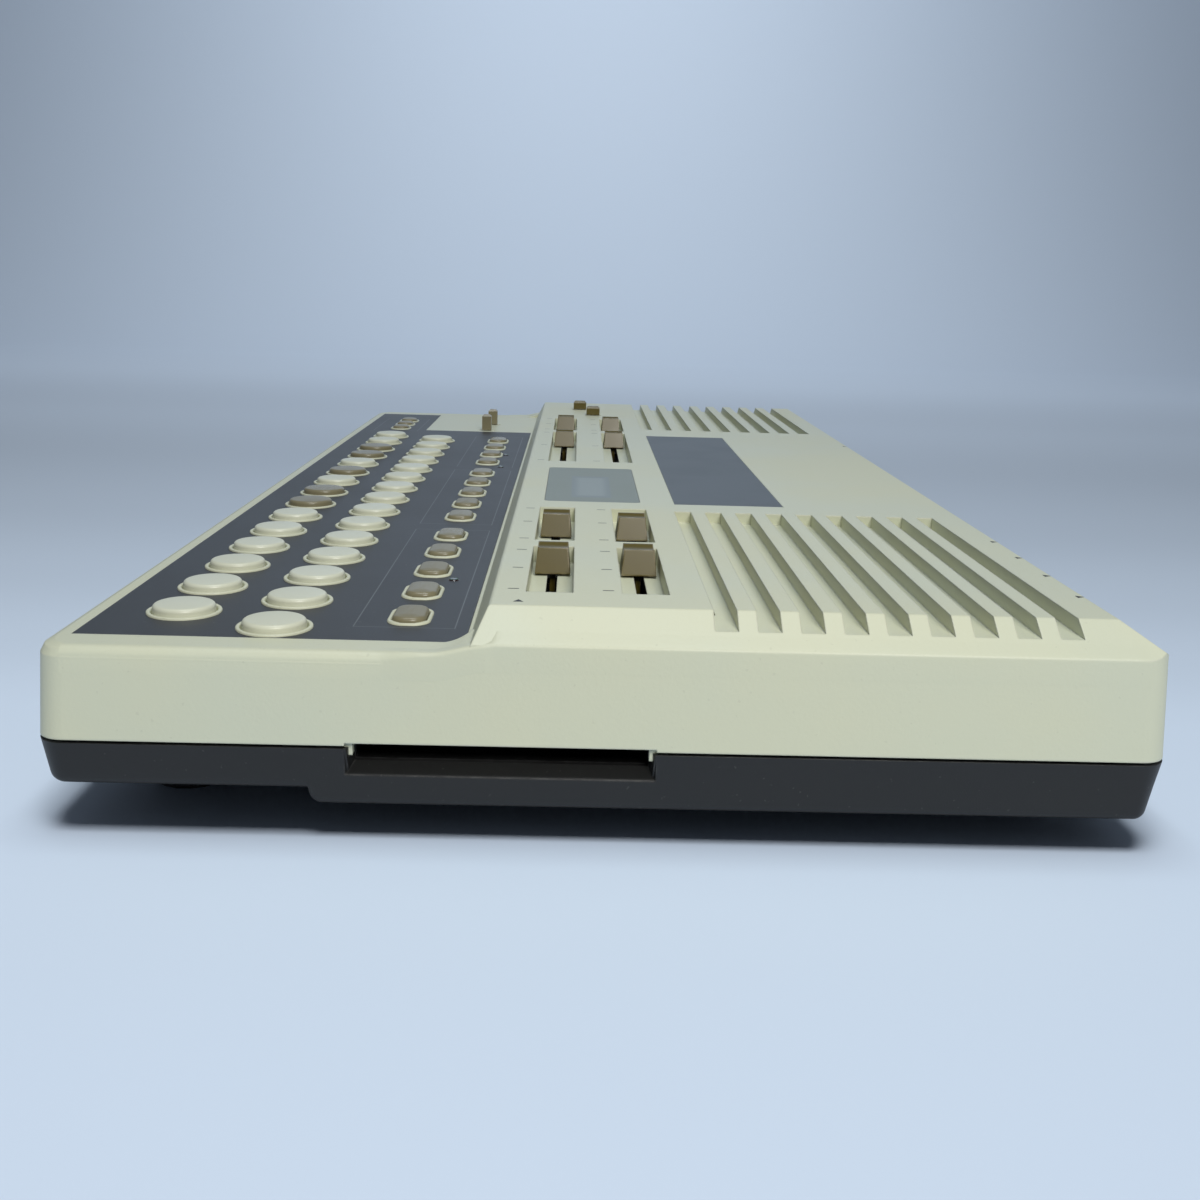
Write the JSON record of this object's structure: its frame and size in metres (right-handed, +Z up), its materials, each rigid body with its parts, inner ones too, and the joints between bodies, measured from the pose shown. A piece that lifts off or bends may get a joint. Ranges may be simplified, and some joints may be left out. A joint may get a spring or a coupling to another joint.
{
  "type": "drum machine",
  "caption": "Table-top rhythm machine with round press keys, slide controls, display window, two grilled speakers and a card slot.",
  "frame": {"origin": "centre of the footprint, on the plane of the rubber feet", "axes": "+X towards the end with the card slot, -Y towards the user and the keys, +Y towards the sockets, +Z up"},
  "size_m": [0.42, 0.21, 0.0475],
  "materials": {
    "cream_shell": "fine texture",
    "dark_shell": "fine texture",
    "panel_grey": "printed matte",
    "cream_key": "satin",
    "brown_key": "satin",
    "window_grey": "gloss",
    "display_glass": "gloss",
    "plate_grey": "satin",
    "slider_cap": "satin",
    "dark_plastic": "satin",
    "board_green": "lacquered",
    "mat_rubber": "matte",
    "foot_rubber": "matte",
    "speaker_steel": "painted",
    "screw_steel": "zinc plated"
  },
  "bodies": {
    "case": {"top_case": "cream_shell", "bottom_case": "dark_shell", "key_panel": "panel_grey", "display_window": "window_grey", "display_module": "display_glass", "label_plate": "plate_grey", "main_board": "board_green", "contact_mat": "mat_rubber", "slide_controls": "dark_plastic", "speakers": "speaker_steel", "card_socket": "dark_plastic", "rear_jacks": "dark_plastic", "rubber_feet": "foot_rubber", "screws": "screw_steel"},
    "key_a_01_body": {"key_a_01": "cream_key"},
    "key_a_02_body": {"key_a_02": "cream_key"},
    "key_a_03_body": {"key_a_03": "cream_key"},
    "key_a_04_body": {"key_a_04": "cream_key"},
    "key_a_05_body": {"key_a_05": "cream_key"},
    "key_a_06_body": {"key_a_06": "cream_key"},
    "key_a_07_body": {"key_a_07": "brown_key"},
    "key_a_08_body": {"key_a_08": "brown_key"},
    "key_a_09_body": {"key_a_09": "cream_key"},
    "key_a_10_body": {"key_a_10": "brown_key"},
    "key_a_11_body": {"key_a_11": "cream_key"},
    "key_a_12_body": {"key_a_12": "brown_key"},
    "key_a_13_body": {"key_a_13": "brown_key"},
    "key_a_14_body": {"key_a_14": "cream_key"},
    "key_a_15_body": {"key_a_15": "cream_key"},
    "key_b_01_body": {"key_b_01": "cream_key"},
    "key_b_02_body": {"key_b_02": "cream_key"},
    "key_b_03_body": {"key_b_03": "cream_key"},
    "key_b_04_body": {"key_b_04": "cream_key"},
    "key_b_05_body": {"key_b_05": "cream_key"},
    "key_b_06_body": {"key_b_06": "cream_key"},
    "key_b_07_body": {"key_b_07": "cream_key"},
    "key_b_08_body": {"key_b_08": "cream_key"},
    "key_b_09_body": {"key_b_09": "cream_key"},
    "key_b_10_body": {"key_b_10": "cream_key"},
    "key_b_11_body": {"key_b_11": "cream_key"},
    "key_b_12_body": {"key_b_12": "cream_key"},
    "key_b_13_body": {"key_b_13": "cream_key"},
    "key_b_14_body": {"key_b_14": "cream_key"},
    "key_b_15_body": {"key_b_15": "cream_key"},
    "select_buttons_1_body": {"select_buttons_1": "brown_key"},
    "select_buttons_2_body": {"select_buttons_2": "brown_key"},
    "select_buttons_3_body": {"select_buttons_3": "brown_key"},
    "mode_buttons_body": {"mode_buttons": "brown_key"},
    "slider_1_body": {"slider_1": "slider_cap"},
    "slider_2_body": {"slider_2": "slider_cap"},
    "slider_3_body": {"slider_3": "slider_cap"},
    "slider_4_body": {"slider_4": "slider_cap"},
    "slider_5_body": {"slider_5": "slider_cap"},
    "slider_6_body": {"slider_6": "slider_cap"},
    "slider_7_body": {"slider_7": "slider_cap"},
    "slider_8_body": {"slider_8": "slider_cap"},
    "lever_1_body": {"lever_1": "brown_key"},
    "lever_2_body": {"lever_2": "brown_key"},
    "lever_3_body": {"lever_3": "slider_cap"},
    "lever_4_body": {"lever_4": "slider_cap"}
  },
  "joints": [
    {"name": "key_a_01_press", "type": "slide", "parent": "case", "child": "key_a_01_body", "axis": [0, 0, -1], "range_m": [0, 0.002], "stiffness_N_per_m": 350, "springref_m": -0.0003},
    {"name": "key_a_02_press", "type": "slide", "parent": "case", "child": "key_a_02_body", "axis": [0, 0, -1], "range_m": [0, 0.002], "stiffness_N_per_m": 350, "springref_m": -0.0003},
    {"name": "key_a_03_press", "type": "slide", "parent": "case", "child": "key_a_03_body", "axis": [0, 0, -1], "range_m": [0, 0.002], "stiffness_N_per_m": 350, "springref_m": -0.0003},
    {"name": "key_a_04_press", "type": "slide", "parent": "case", "child": "key_a_04_body", "axis": [0, 0, -1], "range_m": [0, 0.002], "stiffness_N_per_m": 350, "springref_m": -0.0003},
    {"name": "key_a_05_press", "type": "slide", "parent": "case", "child": "key_a_05_body", "axis": [0, 0, -1], "range_m": [0, 0.002], "stiffness_N_per_m": 350, "springref_m": -0.0003},
    {"name": "key_a_06_press", "type": "slide", "parent": "case", "child": "key_a_06_body", "axis": [0, 0, -1], "range_m": [0, 0.002], "stiffness_N_per_m": 350, "springref_m": -0.0003},
    {"name": "key_a_07_press", "type": "slide", "parent": "case", "child": "key_a_07_body", "axis": [0, 0, -1], "range_m": [0, 0.002], "stiffness_N_per_m": 350, "springref_m": -0.0003},
    {"name": "key_a_08_press", "type": "slide", "parent": "case", "child": "key_a_08_body", "axis": [0, 0, -1], "range_m": [0, 0.002], "stiffness_N_per_m": 350, "springref_m": -0.0003},
    {"name": "key_a_09_press", "type": "slide", "parent": "case", "child": "key_a_09_body", "axis": [0, 0, -1], "range_m": [0, 0.002], "stiffness_N_per_m": 350, "springref_m": -0.0003},
    {"name": "key_a_10_press", "type": "slide", "parent": "case", "child": "key_a_10_body", "axis": [0, 0, -1], "range_m": [0, 0.002], "stiffness_N_per_m": 350, "springref_m": -0.0003},
    {"name": "key_a_11_press", "type": "slide", "parent": "case", "child": "key_a_11_body", "axis": [0, 0, -1], "range_m": [0, 0.002], "stiffness_N_per_m": 350, "springref_m": -0.0003},
    {"name": "key_a_12_press", "type": "slide", "parent": "case", "child": "key_a_12_body", "axis": [0, 0, -1], "range_m": [0, 0.002], "stiffness_N_per_m": 350, "springref_m": -0.0003},
    {"name": "key_a_13_press", "type": "slide", "parent": "case", "child": "key_a_13_body", "axis": [0, 0, -1], "range_m": [0, 0.002], "stiffness_N_per_m": 350, "springref_m": -0.0003},
    {"name": "key_a_14_press", "type": "slide", "parent": "case", "child": "key_a_14_body", "axis": [0, 0, -1], "range_m": [0, 0.002], "stiffness_N_per_m": 350, "springref_m": -0.0003},
    {"name": "key_a_15_press", "type": "slide", "parent": "case", "child": "key_a_15_body", "axis": [0, 0, -1], "range_m": [0, 0.002], "stiffness_N_per_m": 350, "springref_m": -0.0003},
    {"name": "key_b_01_press", "type": "slide", "parent": "case", "child": "key_b_01_body", "axis": [0, 0, -1], "range_m": [0, 0.002], "stiffness_N_per_m": 350, "springref_m": -0.0003},
    {"name": "key_b_02_press", "type": "slide", "parent": "case", "child": "key_b_02_body", "axis": [0, 0, -1], "range_m": [0, 0.002], "stiffness_N_per_m": 350, "springref_m": -0.0003},
    {"name": "key_b_03_press", "type": "slide", "parent": "case", "child": "key_b_03_body", "axis": [0, 0, -1], "range_m": [0, 0.002], "stiffness_N_per_m": 350, "springref_m": -0.0003},
    {"name": "key_b_04_press", "type": "slide", "parent": "case", "child": "key_b_04_body", "axis": [0, 0, -1], "range_m": [0, 0.002], "stiffness_N_per_m": 350, "springref_m": -0.0003},
    {"name": "key_b_05_press", "type": "slide", "parent": "case", "child": "key_b_05_body", "axis": [0, 0, -1], "range_m": [0, 0.002], "stiffness_N_per_m": 350, "springref_m": -0.0003},
    {"name": "key_b_06_press", "type": "slide", "parent": "case", "child": "key_b_06_body", "axis": [0, 0, -1], "range_m": [0, 0.002], "stiffness_N_per_m": 350, "springref_m": -0.0003},
    {"name": "key_b_07_press", "type": "slide", "parent": "case", "child": "key_b_07_body", "axis": [0, 0, -1], "range_m": [0, 0.002], "stiffness_N_per_m": 350, "springref_m": -0.0003},
    {"name": "key_b_08_press", "type": "slide", "parent": "case", "child": "key_b_08_body", "axis": [0, 0, -1], "range_m": [0, 0.002], "stiffness_N_per_m": 350, "springref_m": -0.0003},
    {"name": "key_b_09_press", "type": "slide", "parent": "case", "child": "key_b_09_body", "axis": [0, 0, -1], "range_m": [0, 0.002], "stiffness_N_per_m": 350, "springref_m": -0.0003},
    {"name": "key_b_10_press", "type": "slide", "parent": "case", "child": "key_b_10_body", "axis": [0, 0, -1], "range_m": [0, 0.002], "stiffness_N_per_m": 350, "springref_m": -0.0003},
    {"name": "key_b_11_press", "type": "slide", "parent": "case", "child": "key_b_11_body", "axis": [0, 0, -1], "range_m": [0, 0.002], "stiffness_N_per_m": 350, "springref_m": -0.0003},
    {"name": "key_b_12_press", "type": "slide", "parent": "case", "child": "key_b_12_body", "axis": [0, 0, -1], "range_m": [0, 0.002], "stiffness_N_per_m": 350, "springref_m": -0.0003},
    {"name": "key_b_13_press", "type": "slide", "parent": "case", "child": "key_b_13_body", "axis": [0, 0, -1], "range_m": [0, 0.002], "stiffness_N_per_m": 350, "springref_m": -0.0003},
    {"name": "key_b_14_press", "type": "slide", "parent": "case", "child": "key_b_14_body", "axis": [0, 0, -1], "range_m": [0, 0.002], "stiffness_N_per_m": 350, "springref_m": -0.0003},
    {"name": "key_b_15_press", "type": "slide", "parent": "case", "child": "key_b_15_body", "axis": [0, 0, -1], "range_m": [0, 0.002], "stiffness_N_per_m": 350, "springref_m": -0.0003},
    {"name": "select_buttons_1_press", "type": "slide", "parent": "case", "child": "select_buttons_1_body", "axis": [0, 0, -1], "range_m": [0, 0.0012], "stiffness_N_per_m": 500, "springref_m": -0.0003},
    {"name": "select_buttons_2_press", "type": "slide", "parent": "case", "child": "select_buttons_2_body", "axis": [0, 0, -1], "range_m": [0, 0.0012], "stiffness_N_per_m": 500, "springref_m": -0.0003},
    {"name": "select_buttons_3_press", "type": "slide", "parent": "case", "child": "select_buttons_3_body", "axis": [0, 0, -1], "range_m": [0, 0.0012], "stiffness_N_per_m": 500, "springref_m": -0.0003},
    {"name": "mode_buttons_press", "type": "slide", "parent": "case", "child": "mode_buttons_body", "axis": [0, 0, -1], "range_m": [0, 0.0012], "stiffness_N_per_m": 500, "springref_m": -0.0003},
    {"name": "slider_1_slide", "type": "slide", "parent": "case", "child": "slider_1_body", "axis": [1, 0, 0], "range_m": [-0.00175, 0.02825]},
    {"name": "slider_2_slide", "type": "slide", "parent": "case", "child": "slider_2_body", "axis": [1, 0, 0], "range_m": [-0.00175, 0.02825]},
    {"name": "slider_3_slide", "type": "slide", "parent": "case", "child": "slider_3_body", "axis": [1, 0, 0], "range_m": [-0.01155, 0.01845]},
    {"name": "slider_4_slide", "type": "slide", "parent": "case", "child": "slider_4_body", "axis": [1, 0, 0], "range_m": [-0.01415, 0.01585]},
    {"name": "slider_5_slide", "type": "slide", "parent": "case", "child": "slider_5_body", "axis": [1, 0, 0], "range_m": [-0.00685, 0.06185]},
    {"name": "slider_6_slide", "type": "slide", "parent": "case", "child": "slider_6_body", "axis": [1, 0, 0], "range_m": [-0.00685, 0.06185]},
    {"name": "slider_7_slide", "type": "slide", "parent": "case", "child": "slider_7_body", "axis": [1, 0, 0], "range_m": [-0.00355, 0.02645]},
    {"name": "slider_8_slide", "type": "slide", "parent": "case", "child": "slider_8_body", "axis": [1, 0, 0], "range_m": [-0.00575, 0.02425]},
    {"name": "lever_1_slide", "type": "slide", "parent": "case", "child": "lever_1_body", "axis": [0, 1, 0], "range_m": [-0.002, 0.002]},
    {"name": "lever_2_slide", "type": "slide", "parent": "case", "child": "lever_2_body", "axis": [0, 1, 0], "range_m": [-0.002, 0.002]},
    {"name": "lever_3_slide", "type": "slide", "parent": "case", "child": "lever_3_body", "axis": [0, 1, 0], "range_m": [-0.002, 0.002]},
    {"name": "lever_4_slide", "type": "slide", "parent": "case", "child": "lever_4_body", "axis": [0, 1, 0], "range_m": [-0.002, 0.002]}
  ]
}
